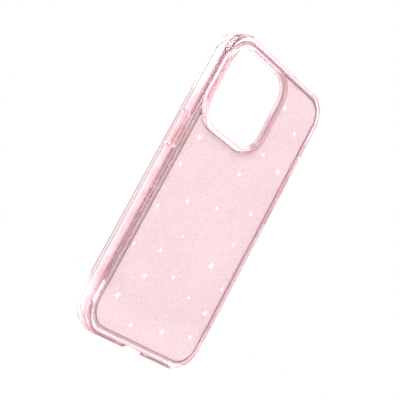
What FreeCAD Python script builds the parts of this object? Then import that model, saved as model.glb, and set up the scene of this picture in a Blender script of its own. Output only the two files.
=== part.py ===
"""A clear pink glitter case for a 6.1-inch-class handset.

A soft bumper runs round the handset's four sides, with a raised lip in front and a flange behind. The flange
holds a laminated back: a hard clear panel, loose foil stars in the bond line, a film of fine glitter and a thin
soft skin towards the handset. A raised guard lines the camera opening, and three caps in the bumper's walls
press the handset's buttons.

Millimetres. The origin is the centre of the handset's bay. +Z runs up the handset, the open front faces -Y and
the back panel faces +Y, so seen from the front the side button is on +X and the volume buttons are on -X.
"""

import FreeCAD
import Part

import math
import os

# ---- the handset that the case is made for
HANDSET_WIDTH = 71.5
HANDSET_HEIGHT = 147.5
HANDSET_DEPTH = 7.9
HANDSET_CORNER = 12.1
HANDSET_EDGE_ROUND = 1.0

# ---- bumper
WALL = 2.0
LIP_RISE = 1.5
LIP_REACH = 1.6
LIP_EDGE_ROUND = 0.4
BACK_DEPTH = 1.6
FRONT_ROUND = 2.6
BACK_ROUND = 3.0
FLANGE_REACH = 2.35
FLANGE_THICKNESS = 0.65
FLANGE_EDGE_ROUND = 0.25
RABBET_REACH = 1.15

# ---- air pockets inside the bumper's corners
POCKET_DEPTH = 0.8
POCKET_HEIGHT = 5.2
POCKET_MARGIN = 1.8

# ---- laminated back
BOND = 0.05
SKIN_THICKNESS = 0.3
FILM_THICKNESS = 0.2
STAR_LAYER = 0.1
PANEL_STEP = 0.1
PANEL_EDGE_ROUND = 0.15

# ---- camera guard
CAMERA_X = 14.05
CAMERA_Z = 49.45
CAMERA_WIDTH = 38.5
CAMERA_HEIGHT = 39.3
CAMERA_CORNER = 10.5
GUARD_NECK = 1.4
GUARD_RIM = 2.9
GUARD_RISE = 1.8
GUARD_OUTER_ROUND = 1.4
GUARD_INNER_ROUND = 0.5

# ---- button caps: each sits in a recess, goes through a land and is held by a foot in an inner pocket
CAP_WIDTH = 3.0
CAP_PROUD = 0.5
CAP_ROUND = 0.45
CAP_CLEARANCE = 0.2
FOOT_MARGIN = 1.1
FOOT_THICKNESS = 0.5
LAND_THICKNESS = 0.6
RECESS_DEPTH = 0.4
RECESS_MARGIN = 1.3
STOP_GAP = 0.02
SIDE_BUTTON_LENGTH = 16.6
SIDE_BUTTON_Z = 20.2
VOLUME_LENGTH = 9.8
VOLUME_UP_Z = 28.0
VOLUME_DOWN_Z = 13.6

# ---- open cut-outs in the bumper's walls
SWITCH_LENGTH = 11.4
SWITCH_WIDTH = 5.4
SWITCH_Z = 41.2
PORT_LENGTH = 13.4
PORT_WIDTH = 6.6
PORT_CORNER = 2.9
SPEAKER_X = 16.8
SPEAKER_HOLES = 5
SPEAKER_PITCH = 2.4
SPEAKER_DIAMETER = 1.7

# ---- foil stars, four-pointed: (x, z, tip-to-tip span) of each on the panel
STARS = [
    (-11.1, 59.1, 3.0), (-25.2, 52.2, 2.6), (-13.2, 34.2, 2.2), (-27.7, 32.2, 3.4), (-29.7, 67.0, 1.8),
    (26.9, 22.0, 2.8), (-5.4, 19.7, 2.2), (-24.7, 7.2, 2.4), (29.4, 7.2, 2.2), (-3.0, 0.2, 1.8),
    (15.3, -4.7, 2.6), (-23.8, -9.4, 2.4), (29.6, -13.6, 2.0), (8.1, -19.4, 1.8), (-17.2, -23.9, 3.4),
    (15.6, -30.0, 2.4), (-31.0, -30.8, 2.4), (31.0, -33.3, 1.8), (0.9, -37.6, 2.4), (-13.8, -42.2, 2.0),
    (16.7, -43.1, 2.8), (-28.3, -44.7, 2.8), (25.3, -56.1, 3.6), (-27.1, -58.1, 2.6), (-8.9, -61.9, 3.0),
    (10.1, -65.2, 2.4),
]
STAR_WAIST = 0.16
STAR_TURN = 30.0
STAR_THICKNESS = 0.06

# ---- worked out from the above
BAY_BACK = HANDSET_DEPTH / 2
BAY_FRONT = -HANDSET_DEPTH / 2
CASE_FRONT = BAY_FRONT - LIP_RISE
CASE_BACK = BAY_BACK + BACK_DEPTH
CASE_WIDTH = HANDSET_WIDTH + 2 * WALL
CASE_HEIGHT = HANDSET_HEIGHT + 2 * WALL
CASE_CORNER = HANDSET_CORNER + WALL
FLANGE_FRONT = CASE_BACK - FLANGE_THICKNESS
PANEL_BACK = CASE_BACK - PANEL_STEP
SKIN_BACK = BAY_BACK + SKIN_THICKNESS
FILM_FRONT = SKIN_BACK + BOND
FILM_BACK = FILM_FRONT + FILM_THICKNESS
PANEL_FRONT = FILM_BACK + STAR_LAYER

# ---- how far a cutting body reaches past what it cuts, the flat at the tip of a round slot end, and how close
# ---- two places are when they count as one
BEYOND = 5.0
SLOT_END_FLAT = 0.001
SAME_PLACE = 1e-4


def rounded_prism(size_a, size_b, radius, low, high, along, centre=(0.0, 0.0)):
    """A rounded rectangle, size_a by size_b, extruded from low to high along an axis.

    Along "y" the sizes are those in X and Z, along "x" those in Y and Z, and along "z" those in X and Y.
    """

    def point(a, b):
        a, b = a + centre[0], b + centre[1]
        spots = {"x": (low, a, b), "y": (a, low, b), "z": (a, b, low)}
        return FreeCAD.Vector(*spots[along])

    half_a, half_b = size_a / 2 - radius, size_b / 2 - radius
    corners = [(half_a, half_b, 0), (-half_a, half_b, 90), (-half_a, -half_b, 180), (half_a, -half_b, 270)]
    arcs = []
    for a, b, start in corners:
        ends = [math.radians(start + turn) for turn in (0, 45, 90)]
        arcs.append([point(a + radius * math.cos(t), b + radius * math.sin(t)) for t in ends])
    edges = []
    for arc, following in zip(arcs, arcs[1:] + arcs[:1]):
        edges.append(Part.Arc(*arc).toShape())
        if arc[2].distanceToPoint(following[0]) > SAME_PLACE:
            edges.append(Part.makeLine(arc[2], following[0]))
    lengths = {"x": (high - low, 0, 0), "y": (0, high - low, 0), "z": (0, 0, high - low)}
    return Part.Face(Part.Wire(edges)).extrude(FreeCAD.Vector(*lengths[along]))


def grown_outline(grow, low, high):
    """The handset's outline, grown by a margin on every side, from low to high along Y."""
    width, height = HANDSET_WIDTH + 2 * grow, HANDSET_HEIGHT + 2 * grow
    return rounded_prism(width, height, HANDSET_CORNER + grow, low, high, "y")


def camera_outline(grow, low, high):
    """The camera opening's outline, grown by a margin on every side, from low to high along Y."""
    return rounded_prism(
        CAMERA_WIDTH + 2 * grow,
        CAMERA_HEIGHT + 2 * grow,
        CAMERA_CORNER + grow,
        low,
        high,
        "y",
        (CAMERA_X, CAMERA_Z),
    )


def edges_on(shape, y, inside=None):
    """The edges of a shape that lie in the plane at y and, if inside is given, no further than that from X = 0."""
    found = []
    for edge in shape.Edges:
        box = edge.BoundBox
        flat = abs(box.YMin - y) < SAME_PLACE and abs(box.YMax - y) < SAME_PLACE
        near = inside is None or max(abs(box.XMin), abs(box.XMax)) < inside
        if flat and near:
            found.append(edge)
    return found


def rounded_at(shape, y, radius, inside=None):
    """The shape with its edges on the plane at y rounded."""
    return shape.makeFillet(radius, edges_on(shape, y, inside))


def button_spots():
    """Each button's name, the side that it is on (+1 or -1 along X), its height and its length."""
    return [
        ("side_button", 1, SIDE_BUTTON_Z, SIDE_BUTTON_LENGTH),
        ("volume_up_button", -1, VOLUME_UP_Z, VOLUME_LENGTH),
        ("volume_down_button", -1, VOLUME_DOWN_Z, VOLUME_LENGTH),
    ]


def through_wall(side, depth_low, depth_high, z, length, width):
    """A round-ended slot along Z in a side wall, between two depths counted outwards from the bay's wall."""
    ends = sorted(side * (HANDSET_WIDTH / 2 + depth) for depth in (depth_low, depth_high))
    return rounded_prism(width, length, width / 2 - SLOT_END_FLAT, ends[0], ends[1], "x", (0.0, z))


def button_window(side, z, length):
    """What a button cap's seat takes out of the wall: an inner pocket, a window and an outer recess."""
    gap = 2 * CAP_CLEARANCE
    foot, recess = 2 * FOOT_MARGIN + gap, 2 * RECESS_MARGIN
    land_low = WALL - RECESS_DEPTH - LAND_THICKNESS
    pocket = through_wall(side, -BEYOND / 5, land_low, z, length + foot, CAP_WIDTH + foot)
    window = through_wall(side, 0.0, WALL + BEYOND, z, length + gap, CAP_WIDTH + gap)
    outer = through_wall(side, WALL - RECESS_DEPTH, WALL + BEYOND, z, length + recess, CAP_WIDTH + recess)
    return pocket.fuse([window, outer])


def button_cap(side, z, length):
    """A cap: a pad that stands proud of the wall, on a wider foot that stops it falling out."""
    foot_high = WALL - RECESS_DEPTH - LAND_THICKNESS - STOP_GAP
    foot_low = foot_high - FOOT_THICKNESS
    foot = through_wall(side, foot_low, foot_high, z, length + 2 * FOOT_MARGIN, CAP_WIDTH + 2 * FOOT_MARGIN)
    pad = through_wall(side, foot_low, WALL + CAP_PROUD, z, length, CAP_WIDTH)
    outer_x = side * (CASE_WIDTH / 2 + CAP_PROUD)
    rim = []
    for edge in pad.Edges:
        box = edge.BoundBox
        if max(abs(box.XMin - outer_x), abs(box.XMax - outer_x)) < SAME_PLACE:
            rim.append(edge)
    return foot.fuse(pad.makeFillet(CAP_ROUND, rim)).removeSplitter()


def corner_pockets():
    """Shallow air pockets in the bay's wall at the four corners, which let the bumper give when it is dropped."""
    ring = grown_outline(POCKET_DEPTH, -POCKET_HEIGHT / 2, POCKET_HEIGHT / 2)
    reach = HANDSET_CORNER - POCKET_MARGIN
    blocks = []
    for side_x in (-1, 1):
        for side_z in (-1, 1):
            block = Part.makeBox(reach + BEYOND, POCKET_HEIGHT, reach + BEYOND)
            low_x = HANDSET_WIDTH / 2 - reach if side_x > 0 else -HANDSET_WIDTH / 2 - BEYOND
            low_z = HANDSET_HEIGHT / 2 - reach if side_z > 0 else -HANDSET_HEIGHT / 2 - BEYOND
            block.translate(FreeCAD.Vector(low_x, -POCKET_HEIGHT / 2, low_z))
            blocks.append(block)
    return [ring.common(block) for block in blocks]


def speaker_holes(low, high):
    """The pins that drill both rows of speaker holes through the bottom wall, from low to high along Z."""
    pins = []
    for side in (-1, 1):
        for hole in range(SPEAKER_HOLES):
            x = side * SPEAKER_X + (hole - (SPEAKER_HOLES - 1) / 2) * SPEAKER_PITCH
            start = FreeCAD.Vector(x, 0.0, low)
            pins.append(Part.makeCylinder(SPEAKER_DIAMETER / 2, high - low, start, FreeCAD.Vector(0, 0, 1)))
    return pins


def wall_cutouts():
    """The ring-switch window, the charging port and a row of round speaker holes on each side of it."""
    outside = WALL + BEYOND
    switch = through_wall(-1, -BEYOND / 5, outside, SWITCH_Z, SWITCH_LENGTH, SWITCH_WIDTH)
    low, high = -HANDSET_HEIGHT / 2 - outside, -HANDSET_HEIGHT / 2 + BEYOND / 5
    port = rounded_prism(PORT_LENGTH, PORT_WIDTH, PORT_CORNER, low, high, "z")
    return [switch, port, *speaker_holes(low, high)]


def bumper_frame():
    """The soft frame round the handset, with its lip, flange, corner pockets, button seats and cut-outs."""
    body = rounded_prism(CASE_WIDTH, CASE_HEIGHT, CASE_CORNER, CASE_FRONT, CASE_BACK, "y")
    body = rounded_at(body, CASE_FRONT, FRONT_ROUND)
    body = rounded_at(body, CASE_BACK, BACK_ROUND)
    bay = grown_outline(0.0, BAY_FRONT, BAY_BACK)
    bay = rounded_at(bay, BAY_FRONT, HANDSET_EDGE_ROUND)
    screen = grown_outline(-LIP_REACH, CASE_FRONT - BEYOND, 0.0)
    window = grown_outline(-FLANGE_REACH, 0.0, CASE_BACK + BEYOND)
    rabbet = grown_outline(-RABBET_REACH, 0.0, FLANGE_FRONT)
    body = body.cut(bay.fuse([screen, window, rabbet]))
    body = rounded_at(body, CASE_FRONT, LIP_EDGE_ROUND, HANDSET_WIDTH / 2 - LIP_REACH + 0.1)
    body = rounded_at(body, CASE_BACK, FLANGE_EDGE_ROUND, HANDSET_WIDTH / 2 - FLANGE_REACH + 0.1)
    windows = [button_window(side, z, length) for _, side, z, length in button_spots()]
    return body.cut(corner_pockets() + wall_cutouts() + windows + [guard_channel()])


def back_layer(grow, low, high):
    """A sheet of the laminated back, with the camera guard's hole in it."""
    return grown_outline(grow, low, high).cut(camera_outline(GUARD_NECK + BOND, low - 1, high + 1))


def back_panel():
    """The hard panel: a face flush with the flange, and a thinner tongue under it."""
    face = grown_outline(-FLANGE_REACH - BOND, PANEL_FRONT, PANEL_BACK)
    face = rounded_at(face, PANEL_BACK, PANEL_EDGE_ROUND)
    tongue = grown_outline(-RABBET_REACH - BOND, PANEL_FRONT, FLANGE_FRONT - BOND)
    return face.fuse(tongue).removeSplitter().cut(guard_channel())


def star(x, z, span):
    """One four-pointed foil star, lying in the bond line behind the panel."""
    middle = (FILM_BACK + PANEL_FRONT - STAR_THICKNESS) / 2
    points = []
    for step in range(8):
        reach = span / 2 if step % 2 == 0 else span * STAR_WAIST / 2
        angle = math.radians(STAR_TURN + 45 * step)
        points.append(FreeCAD.Vector(x - reach * math.cos(angle), middle, z + reach * math.sin(angle)))
    outline = Part.makePolygon(points + points[:1])
    return Part.Face(outline).extrude(FreeCAD.Vector(0, STAR_THICKNESS, 0))


def guard_channel():
    """What the flange and the panel give up so that the camera guard can sit in them."""
    rim = camera_outline(GUARD_RIM + BOND, FLANGE_FRONT - BOND, CASE_BACK + BEYOND)
    neck = camera_outline(GUARD_NECK + BOND, 0.0, CASE_BACK + BEYOND)
    return rim.fuse(neck)


def camera_guard():
    """The raised ring round the camera opening: a broad rim on a neck that goes through the back."""
    rim = camera_outline(GUARD_RIM, FLANGE_FRONT, CASE_BACK + GUARD_RISE)
    rim = rounded_at(rim, CASE_BACK + GUARD_RISE, GUARD_OUTER_ROUND)
    neck = camera_outline(GUARD_NECK, BAY_BACK, CASE_BACK)
    hole = camera_outline(0.0, BAY_BACK - BEYOND, CASE_BACK + BEYOND)
    body = rim.fuse(neck).removeSplitter().cut(hole)
    return rounded_at(body, CASE_BACK + GUARD_RISE, GUARD_INNER_ROUND, CAMERA_X + CAMERA_WIDTH / 2 + 0.1)


def main():
    os.makedirs("parts", exist_ok=True)
    pieces = {
        "bumper_frame": bumper_frame(),
        "back_panel": back_panel(),
        "glitter_film": back_layer(-RABBET_REACH - BOND, FILM_FRONT, FILM_BACK),
        "inner_skin": back_layer(-RABBET_REACH - BOND, BAY_BACK, SKIN_BACK),
        "star_flakes": Part.makeCompound([star(*spot) for spot in STARS]),
        "camera_guard": camera_guard(),
    }
    for name, side, z, length in button_spots():
        pieces[name] = button_cap(side, z, length)
    for name, shape in pieces.items():
        box = shape.BoundBox
        print(
            f"{name}: {len(shape.Solids)} solids, {shape.Volume / 1000:.3f} cm3, valid {shape.isValid()}, "
            f"x {box.XMin:.2f}..{box.XMax:.2f}, y {box.YMin:.2f}..{box.YMax:.2f}, z {box.ZMin:.2f}..{box.ZMax:.2f}"
        )
        shape.exportStep(f"parts/{name}.step")


main()
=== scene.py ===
"""Looks of a clear pink glitter phone case: its plastics, glitter and foil stars, with a studio and a camera.

The case stands upright with its open front towards -Y and its back panel towards +Y, as the CAD model does.
"""

import math
import random

import bmesh
import bpy
from mathutils import Matrix, Vector
from mathutils.bvhtree import BVHTree


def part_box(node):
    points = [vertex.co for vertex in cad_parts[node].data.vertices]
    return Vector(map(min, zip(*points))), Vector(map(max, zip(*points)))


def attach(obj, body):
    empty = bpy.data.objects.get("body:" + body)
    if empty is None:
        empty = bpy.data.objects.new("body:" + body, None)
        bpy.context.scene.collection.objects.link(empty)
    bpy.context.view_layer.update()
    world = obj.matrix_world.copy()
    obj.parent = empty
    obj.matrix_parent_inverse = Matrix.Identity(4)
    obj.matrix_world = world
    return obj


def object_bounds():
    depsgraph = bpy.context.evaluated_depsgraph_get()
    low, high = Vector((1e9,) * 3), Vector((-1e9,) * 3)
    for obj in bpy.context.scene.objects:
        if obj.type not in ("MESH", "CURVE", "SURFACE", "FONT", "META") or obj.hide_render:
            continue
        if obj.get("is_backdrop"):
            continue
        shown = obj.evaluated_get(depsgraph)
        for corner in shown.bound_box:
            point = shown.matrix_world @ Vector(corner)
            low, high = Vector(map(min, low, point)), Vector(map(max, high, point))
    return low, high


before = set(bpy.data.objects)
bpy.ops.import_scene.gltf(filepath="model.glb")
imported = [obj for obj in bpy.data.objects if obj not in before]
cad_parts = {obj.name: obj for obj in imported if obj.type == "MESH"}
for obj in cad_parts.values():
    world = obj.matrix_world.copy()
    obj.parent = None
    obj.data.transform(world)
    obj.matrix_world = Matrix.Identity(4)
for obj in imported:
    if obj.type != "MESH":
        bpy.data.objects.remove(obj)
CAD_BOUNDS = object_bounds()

MM = 0.001
WHITE = (1, 1, 1, 1)

# ---- camera, as seen from the middle of the handset's bay
CAMERA_PLACE = Vector((0.2830, 0.3060, -0.0515))
CAMERA_RIGHT = Vector((-0.613, 0.636, 0.469))
CAMERA_BACK = Vector((0.668, 0.734, -0.123))
CAMERA_LENS = 81.2

# ---- places read from the CAD
CASE_LOW = CAD_BOUNDS[0]
FILM_LOW, FILM_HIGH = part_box("glitter_film")
PANEL_LOW, PANEL_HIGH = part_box("back_panel")
GUARD_LOW, GUARD_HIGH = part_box("camera_guard")
BUMPER_LOW, BUMPER_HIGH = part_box("bumper_frame")
BAY_LOW, BAY_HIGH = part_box("inner_skin")

# ---- glitter and sparkles, in the bond line between the film and the panel
FLAKE_COUNT = 4200
FLAKE_RADIUS = (0.07 * MM, 0.2 * MM)
FLAKE_THICKNESS = 0.01 * MM
FLAKE_TILT = 7.0
FLAKE_SIDES = 6
GLOW_SIDES = 32
GLOW_THICKNESS = 0.004 * MM
GLOW_REACH = 2.1
GLOW_TAPER = 2.2
GLOW_ARM = 0.06
GLOW_ARM_SHARE = 0.5
GLOW_HALO = 0.24
GLOW_HALO_SHARE = 0.2
STAR_LARGEST = 4.0 * MM
STAR_SHADE = (0.95, 0.93, 0.94, 1)
STAR_TURN = 30.0
EDGE_MARGIN = 2.6 * MM
GUARD_MARGIN = 1.5 * MM
SEED = 11

# ---- the panel's face, inside the flange that covers its tongue, and a brownish line of painted shade along its edge
PANEL_COVER = 1.2 * MM
PANEL_CORNER = 9.7 * MM
EDGE_SHADE_WIDTH = 0.3 * MM
EDGE_SHADE_COLOUR = (176, 132, 134)

# ---- clear share along the case's depth: the bumper's wall turns milky before its clear back edge
DEPTH_START = -3.0 * MM
DEPTH_SPAN = 10.0 * MM
ALL_CLEAR = ((0.0, 1.0), (1.0, 1.0))
BUMPER_CLEAR = ((0.12, 0.98), (0.35, 0.86), (0.5, 0.7), (0.6, 0.78), (0.72, 0.98))
GUARD_CLEAR = ((0.0, 0.84), (1.0, 0.84))
MILK_GAIN = 4.0

# ---- the soft and the hard plastic: screen colours that tint the depth, and that the milk clouds between
WHITE_PINK = (255, 250, 251)
BUMPER_TINT = (246, 202, 210)
BUMPER_DENSITY = 90
BUMPER_MILK = ((248, 212, 219), (232, 176, 186))
GUARD_TINT = (243, 182, 196)
GUARD_DENSITY = 150
GUARD_MILK = ((252, 222, 229), (249, 214, 223))
PANEL_TINT = (252, 226, 232)
PANEL_DENSITY = 40
SOFT_IOR = 1.47
SOFT_WAVE = 0.12
HARD_IOR = 1.49
HARD_WAVE = 0.03

# ---- glitter inside the bumper's wall
BUMPER_FLAKE_COUNT = 3000
BUMPER_FLAKE_COVER = 0.3 * MM
BUMPER_FLAKE_TILT = 25.0
BAY_SKIP = 5.0 * MM
CROSSING_WAY = Vector((0.48, 0.6, 0.64))
CROSSING_STEP = 0.001 * MM

# ---- studio: dusky upright flags, as (direction round the case, half width) in degrees, and a level one
STUDIO_LIGHT = 1.15
FLAGS = [(52.0, 9.0), (106.0, 8.0), (160.0, 8.0), (212.0, 9.0), (280.0, 15.0), (340.0, 9.0)]
FLAG_COLOUR = (0.3, 0.215, 0.2, 1)
LEVEL_FLAG_HEIGHT = 0.46
LEVEL_FLAG_WIDTH = 0.14
FLAG_EDGE = 4.0
FLOOR_HALF = 6.0
FLOOR_GAP = 0.05 * MM


def srgb(red, green, blue, alpha=1.0):
    """A colour given in 0-255 screen values, as the linear values that shaders take."""
    def linear(value):
        value /= 255
        return value / 12.92 if value <= 0.04045 else ((value + 0.055) / 1.055) ** 2.4
    return (linear(red), linear(green), linear(blue), alpha)


class Shader:
    """A material with one Principled node, and short calls for the nodes that feed it."""

    def __init__(self, name, **plain):
        self.material = bpy.data.materials.new(name)
        self.material.use_nodes = True
        self.tree = self.material.node_tree
        self.main = self.tree.nodes["Principled BSDF"]
        self.output = self.tree.nodes["Material Output"]
        for socket, value in plain.items():
            self.main.inputs[socket.replace("_", " ")].default_value = value

    def node(self, kind, **settings):
        made = self.tree.nodes.new(kind)
        for name, value in settings.items():
            if hasattr(made, name):
                setattr(made, name, value)
            else:
                made.inputs[name.replace("_", " ")].default_value = value
        return made

    def link(self, source, target):
        self.tree.links.new(source, target)

    def place(self):
        """The point's own place on the object, in metres."""
        return self.node("ShaderNodeTexCoord").outputs["Object"]

    def split_place(self):
        """The point's X, Y and Z, as the outputs of one node."""
        parts = self.node("ShaderNodeSeparateXYZ")
        self.link(self.place(), parts.inputs["Vector"])
        return parts.outputs

    def noise(self, scale, detail=2.0):
        made = self.node("ShaderNodeTexNoise", Scale=scale, Detail=detail)
        self.link(self.place(), made.inputs["Vector"])
        return made.outputs["Fac"]

    def cells(self, scale, output="Color", **settings):
        made = self.node("ShaderNodeTexVoronoi", Scale=scale, **settings)
        self.link(self.place(), made.inputs["Vector"])
        return made.outputs[output]

    def ramp(self, factor, stops):
        made = self.node("ShaderNodeValToRGB")
        elements = made.color_ramp.elements
        while len(elements) < len(stops):
            elements.new(0.5)
        for element, (position, colour) in zip(elements, stops):
            element.position = position
            element.color = colour
        self.link(factor, made.inputs["Fac"])
        return made.outputs["Color"]

    def grey_ramp(self, factor, stops):
        return self.ramp(factor, [(at, (value, value, value, 1)) for at, value in stops])

    def blend(self, factor, first, second):
        made = self.node("ShaderNodeMix", data_type="RGBA")
        for value, name in ((factor, "Factor_Float"), (first, "A_Color"), (second, "B_Color")):
            socket = next(s for s in made.inputs if s.identifier == name)
            if isinstance(value, bpy.types.NodeSocket):
                self.link(value, socket)
            else:
                socket.default_value = value
        return next(s for s in made.outputs if s.identifier == "Result_Color")

    def maths(self, how, first, second=None):
        made = self.node("ShaderNodeMath", operation=how)
        for socket, value in zip(made.inputs, (first, second)):
            if isinstance(value, bpy.types.NodeSocket):
                self.link(value, socket)
            elif value is not None:
                socket.default_value = value
        return made.outputs["Value"]

    def bump(self, height, strength, distance):
        made = self.node("ShaderNodeBump", Strength=strength, Distance=distance)
        self.link(height, made.inputs["Height"])
        self.link(made.outputs["Normal"], self.main.inputs["Normal"])

    def feed(self, socket, source):
        self.link(source, self.main.inputs[socket])

    def absorb(self, colour, density):
        made = self.node("ShaderNodeVolumeAbsorption", Color=colour, Density=density)
        self.link(made.outputs["Volume"], self.output.inputs["Volume"])


def clear_plastic(name, tint, density, ior, wave, clear=ALL_CLEAR, milk=(WHITE_PINK, WHITE_PINK)):
    """Polished clear plastic, tinted through its depth, with faint moulding waves.

    clear lists the clear share at places along the case's depth, from 0 in its front half to 1 near the top
    of the camera guard. What is not clear is milky, and milk holds the two colours that it clouds between.
    """
    made = Shader(name, IOR=ior)
    along = made.maths("DIVIDE", made.maths("SUBTRACT", made.split_place()["Y"], DEPTH_START), DEPTH_SPAN)
    share = made.grey_ramp(along, clear)
    made.feed("Transmission Weight", share)
    clouds = made.ramp(made.noise(190), [(0.35, srgb(*milk[0])), (0.65, srgb(*milk[1]))])
    milky = made.maths("MULTIPLY", made.maths("SUBTRACT", 1.0, share), MILK_GAIN)
    cloudy = made.maths("MINIMUM", milky, 1.0)
    made.feed("Base Color", made.blend(cloudy, srgb(*WHITE_PINK), clouds))
    made.feed("Roughness", made.grey_ramp(made.noise(900, 3), [(0.35, 0.015), (0.75, 0.07)]))
    made.bump(made.noise(240), wave, 0.2 * MM)
    made.absorb(tint, density)
    return made


def soft_plastic(name, tint, density, clear, milk):
    return clear_plastic(name, srgb(*tint), density, SOFT_IOR, SOFT_WAVE, clear, milk).material


def past_outline(made, half, corner):
    """How far a point is outside a rounded rectangle about the origin, seen from behind, as a socket."""
    maths = made.maths
    sides = made.split_place()
    over = []
    for axis, reach in (("X", half.x), ("Z", half.z)):
        over.append(maths("SUBTRACT", maths("ABSOLUTE", sides[axis]), reach - corner))
    outer = [maths("POWER", maths("MAXIMUM", value, 0.0), 2.0) for value in over]
    inner = maths("MINIMUM", maths("MAXIMUM", over[0], over[1]), 0.0)
    return maths("SUBTRACT", maths("ADD", maths("SQRT", maths("ADD", *outer)), inner), corner)


def clear_panel():
    """Hard clear sheet with a brownish line of painted shade along its edge, where it meets the bumper's
    flange.
    """
    made = clear_plastic("clear_panel", srgb(*PANEL_TINT), PANEL_DENSITY, HARD_IOR, HARD_WAVE)
    half = PANEL_HIGH - Vector((PANEL_COVER + EDGE_SHADE_WIDTH, 0, PANEL_COVER + EDGE_SHADE_WIDTH))
    past = past_outline(made, half, PANEL_CORNER - EDGE_SHADE_WIDTH)
    across = made.maths("DIVIDE", past, EDGE_SHADE_WIDTH)
    # painted shade: a thin brownish line just past the panel's clear face, where the panel meets the flange
    painted_edge_shade = made.grey_ramp(across, [(0.0, 0.0), (0.4, 1.0), (0.8, 1.0), (1.0, 0.0)])
    plain = made.main.inputs["Base Color"].links[0].from_socket
    made.feed("Base Color", made.blend(painted_edge_shade, plain, srgb(*EDGE_SHADE_COLOUR)))
    return made.material


def glitter_film():
    """Pale pink film, crowded with fine glitter: some grains catch the light and some turn away from it."""
    made = Shader("glitter_film", Alpha=0.9, IOR=1.5)
    ground = made.ramp(made.noise(45, 3), [(0.3, srgb(251, 229, 236)), (0.7, srgb(253, 235, 240))])
    grain = made.node("ShaderNodeSeparateColor")
    made.link(made.cells(2900), grain.inputs["Color"])
    # painted shade on the grains turned away from the light, and painted glints on the grains that catch it
    dark = made.grey_ramp(grain.outputs["Red"], [(0.78, 0.0), (0.96, 1.0)])
    light = made.grey_ramp(grain.outputs["Green"], [(0.78, 0.0), (0.96, 1.0)])
    colour = made.blend(dark, ground, srgb(240, 200, 210))
    made.feed("Base Color", made.blend(light, colour, srgb(*WHITE_PINK)))
    made.feed("Roughness", made.grey_ramp(grain.outputs["Blue"], [(0.2, 0.18), (0.8, 0.5)]))
    made.bump(grain.outputs["Blue"], 0.25, 0.02 * MM)
    return made.material


def sparkle_glow():
    """Soft four-pointed painted glint round each foil star, white at its heart and fading to nothing."""
    # painted glow: white emission makes the glint shine though it is no lamp
    made = Shader("sparkle_glow", Base_Color=WHITE, Emission_Color=WHITE, Emission_Strength=0.6)
    maths = made.maths

    def bell(value, width):
        return maths("EXPONENT", maths("MULTIPLY", maths("POWER", maths("DIVIDE", value, width), 2.0), -1.0))

    def arm(along, across):
        """One pair of arms: a narrow bell across, tapering to nothing at the rim."""
        taper = maths("POWER", maths("MAXIMUM", maths("SUBTRACT", 1.0, along), 0.0), GLOW_TAPER)
        return maths("MULTIPLY", taper, bell(across, GLOW_ARM))

    spread = made.node("ShaderNodeUVMap", uv_map="spread")
    sides = made.node("ShaderNodeSeparateXYZ")
    made.link(spread.outputs["UV"], sides.inputs["Vector"])
    off_middle = [maths("SUBTRACT", sides.outputs[axis], 0.5) for axis in "XY"]
    first, second = [maths("MULTIPLY", maths("ABSOLUTE", value), 2.0) for value in off_middle]
    reach = maths("SQRT", maths("ADD", maths("POWER", first, 2.0), maths("POWER", second, 2.0)))
    arms = maths("MULTIPLY", maths("ADD", arm(first, second), arm(second, first)), GLOW_ARM_SHARE)
    halo = maths("MULTIPLY", bell(reach, GLOW_HALO), GLOW_HALO_SHARE)
    made.feed("Alpha", maths("MINIMUM", maths("ADD", arms, halo), 1.0))
    made.feed("Roughness", made.grey_ramp(made.noise(3000), [(0.3, 0.4), (0.7, 0.6)]))
    made.bump(made.noise(5000), 0.1, 0.01 * MM)
    return made.material


def inner_skin():
    """Thin soft skin with the fine dots that keep it from clinging wet to the handset."""
    made = Shader("dotted_skin", Alpha=0.4, IOR=1.45)
    tone = made.ramp(made.noise(80), [(0.3, srgb(248, 210, 219)), (0.7, srgb(250, 218, 226))])
    made.feed("Base Color", tone)
    dots = made.cells(900, "Distance", Randomness=0.0)
    made.feed("Roughness", made.grey_ramp(dots, [(0.2, 0.3), (0.5, 0.6)]))
    made.bump(made.grey_ramp(dots, [(0.18, 1.0), (0.34, 0.0)]), 0.6, 0.05 * MM)
    return made.material


def foil(name, light, shade, scale, metal, glint=0.0, cover=1.0):
    """Metallised film that glints: its tone changes from one grain to the next. Its glint setting is white
    emission, a painted glow that makes it shine though it is no lamp.
    """
    made = Shader(name, Alpha=cover, Metallic=metal, Emission_Color=WHITE, Emission_Strength=glint)
    grain = made.cells(scale)
    made.feed("Base Color", made.ramp(grain, [(0.2, shade), (0.6, light)]))
    made.feed("Roughness", made.grey_ramp(grain, [(0.2, 0.15), (0.8, 0.4)]))
    made.bump(made.noise(4000), 0.2, 0.01 * MM)
    return made.material


def paint(node, material):
    """Gives a CAD node its material."""
    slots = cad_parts[node].data.materials
    slots.clear()
    slots.append(material)


def add_piece(name, vertices, faces, material):
    """A piece of glitter that rides on the case."""
    mesh = bpy.data.meshes.new(name)
    mesh.from_pydata(vertices, [], faces)
    mesh.materials.append(material)
    piece = bpy.data.objects.new(name, mesh)
    bpy.context.scene.collection.objects.link(piece)
    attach(piece, "case")
    return piece


def add_disc(vertices, faces, centre, radius, thickness, sides, turn):
    """Adds a thin flat-sided disc to a mesh's lists. turn takes the disc's own axes to the case's."""
    first = len(vertices)
    for level in (-thickness / 2, thickness / 2):
        for step in range(sides):
            angle = math.tau * step / sides
            spot = Vector((radius * math.cos(angle), level, -radius * math.sin(angle)))
            vertices.append(centre + turn @ spot)
    low, high = [[first + layer * sides + step for step in range(sides)] for layer in (0, 1)]
    faces.append(low[::-1])
    faces.append(high)
    for step in range(sides):
        after = (step + 1) % sides
        faces.append([low[step], low[after], high[after], high[step]])


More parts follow.
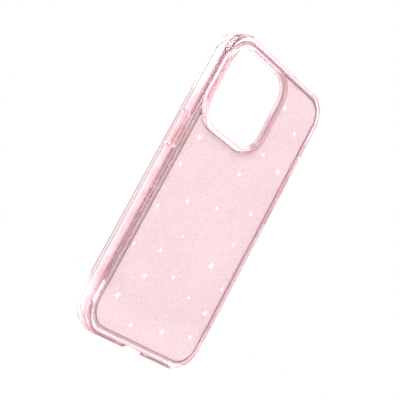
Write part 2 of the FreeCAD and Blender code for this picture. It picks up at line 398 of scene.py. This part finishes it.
def stars():
    """The centre and the reach of each foil star, read from the CAD."""
    groups = []
    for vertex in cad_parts["star_flakes"].data.vertices:
        near = next((group for group in groups if (group[0] - vertex.co).length < STAR_LARGEST), None)
        if near is None:
            groups.append([vertex.co.copy()])
        else:
            near.append(vertex.co.copy())
    found = []
    for group in groups:
        low = Vector([min(point[axis] for point in group) for axis in range(3)])
        high = Vector([max(point[axis] for point in group) for axis in range(3)])
        centre = (low + high) / 2
        found.append((centre, max((point - centre).length for point in group)))
    return found


def inside(x, z, low, high, margin):
    """Whether a point of the back is inside a box seen from behind, grown by a margin."""
    return low.x - margin < x < high.x + margin and low.z - margin < z < high.z + margin


def glitter_flakes(material, sparkles):
    """Small six-sided flakes, scattered over the back and each a little tilted."""
    draw = random.Random(SEED)
    middle = (FILM_HIGH.y + PANEL_LOW.y) / 2
    vertices, faces = [], []
    while len(faces) < FLAKE_COUNT * (FLAKE_SIDES + 2):
        spot = Vector((draw.uniform(FILM_LOW.x, FILM_HIGH.x), middle, draw.uniform(FILM_LOW.z, FILM_HIGH.z)))
        radius = draw.uniform(*FLAKE_RADIUS)
        tilt, heading = math.radians(draw.gauss(0, FLAKE_TILT / 2)), draw.uniform(0, math.tau)
        on_back = inside(spot.x, spot.z, FILM_LOW, FILM_HIGH, -EDGE_MARGIN)
        in_opening = inside(spot.x, spot.z, GUARD_LOW, GUARD_HIGH, -GUARD_MARGIN)
        on_star = any((spot - centre).length < reach + radius for centre, reach in sparkles)
        if on_back and not in_opening and not on_star:
            turn = Matrix.Rotation(heading, 3, "Y") @ Matrix.Rotation(tilt, 3, "X")
            add_disc(vertices, faces, spot, radius, FLAKE_THICKNESS, FLAKE_SIDES, turn)
    add_piece("glitter_flakes", vertices, faces, material)


def holds(surface, spot):
    """Whether a closed surface holds a point: a line from the point crosses it an odd number of times."""
    crossings = 0
    start = spot
    while True:
        hit = surface.ray_cast(start, CROSSING_WAY)[0]
        if hit is None:
            return crossings % 2 == 1
        crossings += 1
        start = hit + CROSSING_WAY * CROSSING_STEP


def bumper_flakes(material):
    """Small flakes strewn through the bumper's wall, lying roughly along it."""
    draw = random.Random(SEED + 1)
    wall = BVHTree.FromObject(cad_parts["bumper_frame"], bpy.context.evaluated_depsgraph_get())
    vertices, faces = [], []
    while len(faces) < BUMPER_FLAKE_COUNT * (FLAKE_SIDES + 2):
        spot = Vector([draw.uniform(BUMPER_LOW[axis], BUMPER_HIGH[axis]) for axis in range(3)])
        if inside(spot.x, spot.z, BAY_LOW, BAY_HIGH, -BAY_SKIP):
            continue
        near, normal, _, away = wall.find_nearest(spot)
        if away > BUMPER_FLAKE_COVER and (spot - near).dot(normal) < 0 and holds(wall, spot):
            turn = Vector((0, 1, 0)).rotation_difference(normal).to_matrix()
            tilt = Matrix.Rotation(math.radians(draw.gauss(0, BUMPER_FLAKE_TILT)), 3, "X")
            radius = draw.uniform(*FLAKE_RADIUS)
            add_disc(vertices, faces, spot, radius, FLAKE_THICKNESS, FLAKE_SIDES, turn @ tilt)
    add_piece("bumper_flakes", vertices, faces, material)


def star_glow(material, sparkles):
    """A thin disc under each foil star that carries its painted glint, mapped so that its middle is the
    star's.
    """
    vertices, faces, places = [], [], []
    turn = Matrix.Rotation(math.radians(STAR_TURN), 3, "Y")
    for centre, reach in sparkles:
        spot = Vector((centre.x, FILM_HIGH.y + GLOW_THICKNESS, centre.z))
        first = len(vertices)
        add_disc(vertices, faces, spot, reach * GLOW_REACH, GLOW_THICKNESS, GLOW_SIDES, turn)
        for vertex in vertices[first:]:
            own = turn.inverted() @ (vertex - spot) / (reach * GLOW_REACH)
            places.append((0.5 + own.x / 2, 0.5 + own.z / 2))
    piece = add_piece("star_glow", vertices, faces, material)
    layer = piece.data.uv_layers.new(name="spread")
    for loop in piece.data.loops:
        layer.data[loop.index].uv = places[loop.vertex_index]


def make_camera():
    data = bpy.data.cameras.new("camera")
    data.lens = CAMERA_LENS
    data.sensor_width = 36.0
    data.clip_start = 0.01
    camera = bpy.data.objects.new("camera", data)
    bpy.context.scene.collection.objects.link(camera)
    back = CAMERA_BACK.normalized()
    right = (CAMERA_RIGHT - back * CAMERA_RIGHT.dot(back)).normalized()
    up = back.cross(right)
    camera.matrix_world = Matrix.Translation(CAMERA_PLACE) @ Matrix((right, up, back)).transposed().to_4x4()
    bpy.context.scene.camera = camera


def make_world():
    """A white studio. What the plastic bends and mirrors also has soft dusky flags between the lights."""
    world = bpy.data.worlds.new("studio")
    bpy.context.scene.world = world
    world.use_nodes = True
    tree = world.node_tree
    background = tree.nodes["Background"]
    background.inputs["Color"].default_value = WHITE
    background.inputs["Strength"].default_value = 1.0

    def node(kind, **settings):
        made = tree.nodes.new(kind)
        for name, value in settings.items():
            setattr(made, name, value)
        return made

    def maths(how, first, second=0.0):
        made = node("ShaderNodeMath", operation=how)
        for socket, value in zip(made.inputs, (first, second)):
            if isinstance(value, bpy.types.NodeSocket):
                tree.links.new(value, socket)
            else:
                socket.default_value = value
        return made.outputs["Value"]

    def flag(away, width):
        """1 where a distance is well within a width and 0 past it, with soft edges."""
        share = maths("MULTIPLY", maths("SUBTRACT", 1.0, maths("DIVIDE", away, width)), FLAG_EDGE)
        return maths("MINIMUM", maths("MAXIMUM", share, 0.0), 1.0)

    direction = node("ShaderNodeTexCoord")
    parts = node("ShaderNodeSeparateXYZ")
    tree.links.new(direction.outputs["Generated"], parts.inputs["Vector"])
    round_about = maths("ARCTAN2", parts.outputs["Y"], parts.outputs["X"])
    dusk = flag(maths("ABSOLUTE", maths("SUBTRACT", parts.outputs["Z"], LEVEL_FLAG_HEIGHT)), LEVEL_FLAG_WIDTH)
    for middle, half_width in FLAGS:
        apart = maths("ARCCOSINE", maths("COSINE", maths("SUBTRACT", round_about, math.radians(middle))))
        dusk = maths("MAXIMUM", dusk, flag(apart, math.radians(half_width)))
    mix = node("ShaderNodeMix", data_type="RGBA")
    sockets = {socket.identifier: socket for socket in mix.inputs}
    sockets["A_Color"].default_value = (STUDIO_LIGHT, STUDIO_LIGHT, STUDIO_LIGHT, 1)
    sockets["B_Color"].default_value = FLAG_COLOUR
    tree.links.new(dusk, sockets["Factor_Float"])
    flags = node("ShaderNodeBackground")
    tree.links.new(next(s for s in mix.outputs if s.identifier == "Result_Color"), flags.inputs["Color"])
    path = node("ShaderNodeLightPath")
    choose = node("ShaderNodeMixShader")
    tree.links.new(path.outputs["Is Camera Ray"], choose.inputs["Fac"])
    tree.links.new(flags.outputs["Background"], choose.inputs[1])
    tree.links.new(background.outputs["Background"], choose.inputs[2])
    tree.links.new(choose.outputs["Shader"], tree.nodes["World Output"].inputs["Surface"])


def make_floor():
    made = Shader("floor", Roughness=0.6, Emission_Color=WHITE, Emission_Strength=0.35)
    made.feed("Base Color", made.grey_ramp(made.noise(8), [(0.3, 0.92), (0.7, 0.94)]))
    maker = bmesh.new()
    bmesh.ops.create_grid(maker, x_segments=1, y_segments=1, size=FLOOR_HALF)
    mesh = bpy.data.meshes.new("floor")
    maker.to_mesh(mesh)
    maker.free()
    mesh.materials.append(made.material)
    floor = bpy.data.objects.new("floor", mesh)
    floor.location.z = CASE_LOW.z - FLOOR_GAP
    bpy.context.scene.collection.objects.link(floor)
    floor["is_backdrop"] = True


def make_light(name, place, size, power):
    data = bpy.data.lights.new(name, "AREA")
    data.shape = "DISK"
    data.size = size
    data.energy = power
    light = bpy.data.objects.new(name, data)
    light.location = place
    light.rotation_mode = "QUATERNION"
    light.rotation_quaternion = Vector(place).to_track_quat("Z", "Y")
    bpy.context.scene.collection.objects.link(light)


make_camera()
make_world()
make_floor()
make_light("key", (0.9, 0.9, 0.9), size=0.9, power=32.0)
make_light("front_fill", (-0.7, -0.9, 0.7), size=0.8, power=6.0)

tpu = soft_plastic("clear_pink_tpu", BUMPER_TINT, BUMPER_DENSITY, BUMPER_CLEAR, BUMPER_MILK)
for node in ("bumper_frame", "side_button", "volume_up_button", "volume_down_button"):
    paint(node, tpu)
paint("camera_guard", soft_plastic("guard_tpu", GUARD_TINT, GUARD_DENSITY, GUARD_CLEAR, GUARD_MILK))
paint("back_panel", clear_panel())
paint("glitter_film", glitter_film())
paint("inner_skin", inner_skin())
# The star foil's glint is a painted glow: white emission that makes the stars shine though they are no lamp.
paint("star_flakes", foil("star_foil", WHITE, STAR_SHADE, scale=1500, metal=0.1, glint=0.5, cover=0.6))
sparkles = stars()
flake_foil = foil("flake_foil", srgb(255, 250, 252), srgb(242, 200, 210), scale=2600, metal=0.4)
glitter_flakes(flake_foil, sparkles)
bumper_flakes(foil("bumper_foil", srgb(255, 248, 250), srgb(236, 188, 200), scale=2600, metal=0.3))
star_glow(sparkle_glow(), sparkles)

bpy.context.scene.view_settings.view_transform = "Standard"

boxes = {"cad": CAD_BOUNDS, "visual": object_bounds()}
{name: [list(corner) for corner in box] for name, box in boxes.items()}
